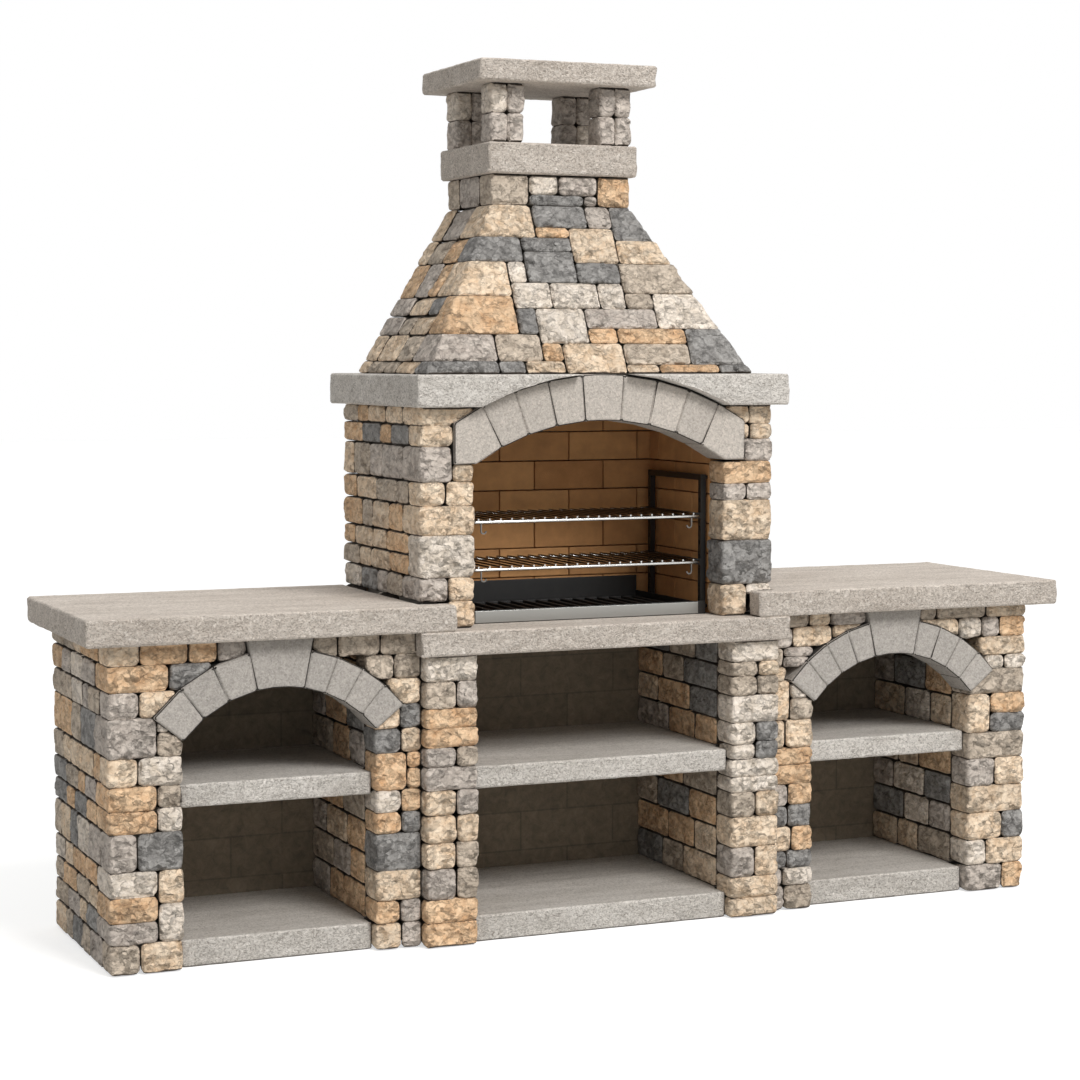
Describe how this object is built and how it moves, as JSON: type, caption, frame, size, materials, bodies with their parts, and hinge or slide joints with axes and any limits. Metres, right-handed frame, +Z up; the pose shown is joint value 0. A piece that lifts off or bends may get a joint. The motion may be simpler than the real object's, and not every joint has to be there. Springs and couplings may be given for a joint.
{
  "type": "stone garden barbecue",
  "caption": "Stone-built garden barbecue: arched firebox with pull-out grates and ember tray under a sloping hood and chimney, between arched worktop units with shelves.",
  "frame": {"origin": "on the floor under the middle of the bounding box", "axes": "+X along the length to the cook's right, +Y away from the cook, +Z up"},
  "size_m": [2.88, 0.74, 2.388],
  "materials": {
    "split_stone": "split face, tumbled edges",
    "grey_granite": "bush-hammered",
    "cast_concrete": "cast",
    "firebrick": "matt fired clay",
    "black_steel": "matt heat-proof black",
    "cast_iron_bars": "rough black",
    "satin_steel": "satin",
    "bright_wire": "bright plated"
  },
  "bodies": {
    "masonry": {"back_firebricks": "firebrick", "centre_back_panel": "cast_concrete", "centre_left_pier_core": "cast_concrete", "centre_left_pier_stones": "split_stone", "centre_plinth_slab": "grey_granite", "centre_right_pier_core": "cast_concrete", "centre_right_pier_stones": "split_stone", "centre_shelf_slab": "grey_granite", "chimney_cap": "grey_granite", "chimney_collar": "grey_granite", "chimney_posts": "split_stone", "firebox_arch_keystone": "grey_granite", "firebox_arch_voussoirs": "grey_granite", "firebox_back_core": "cast_concrete", "firebox_left_core": "cast_concrete", "firebox_left_stones": "split_stone", "firebox_right_core": "cast_concrete", "firebox_right_stones": "split_stone", "grill_ladder_left": "black_steel", "grill_ladder_right": "black_steel", "hearth_slab": "grey_granite", "hood_front_stones": "split_stone", "hood_left_stones": "split_stone", "hood_right_stones": "split_stone", "hood_shell": "cast_concrete", "ladder_wall_pins": "black_steel", "left_arch_keystone": "grey_granite", "left_arch_voussoirs": "grey_granite", "left_back_panel": "cast_concrete", "left_firebricks": "firebrick", "left_inner_pier_core": "cast_concrete", "left_inner_pier_stones": "split_stone", "left_outer_pier_core": "cast_concrete", "left_outer_pier_stones": "split_stone", "left_plinth_slab": "grey_granite", "left_shelf_slab": "grey_granite", "left_worktop_slab": "grey_granite", "mantel_left": "grey_granite", "mantel_right": "grey_granite", "right_arch_keystone": "grey_granite", "right_arch_voussoirs": "grey_granite", "right_back_panel": "cast_concrete", "right_firebricks": "firebrick", "right_inner_pier_core": "cast_concrete", "right_inner_pier_stones": "split_stone", "right_outer_pier_core": "cast_concrete", "right_outer_pier_stones": "split_stone", "right_plinth_slab": "grey_granite", "right_shelf_slab": "grey_granite", "right_worktop_slab": "grey_granite"},
    "upper_grate": {"upper_grate": "bright_wire", "upper_grate_catches": "bright_wire"},
    "lower_grate": {"lower_grate": "bright_wire", "lower_grate_catches": "bright_wire"},
    "ember_tray": {"ember_tray": "black_steel", "tray_fascia": "satin_steel"},
    "charcoal_grate": {"charcoal_grate": "cast_iron_bars"}
  },
  "joints": [
    {"name": "upper_grate_slide", "type": "slide", "parent": "masonry", "child": "upper_grate", "axis": [0, -1, 0], "range_m": [0, 0.24]},
    {"name": "lower_grate_slide", "type": "slide", "parent": "masonry", "child": "lower_grate", "axis": [0, -1, 0], "range_m": [0, 0.24]},
    {"name": "ember_tray_slide", "type": "slide", "parent": "masonry", "child": "ember_tray", "axis": [0, -1, 0], "range_m": [0, 0.22]},
    {"name": "charcoal_grate_lift", "type": "slide", "parent": "ember_tray", "child": "charcoal_grate", "axis": [0, 0, 1], "range_m": [0, 0.05]}
  ]
}
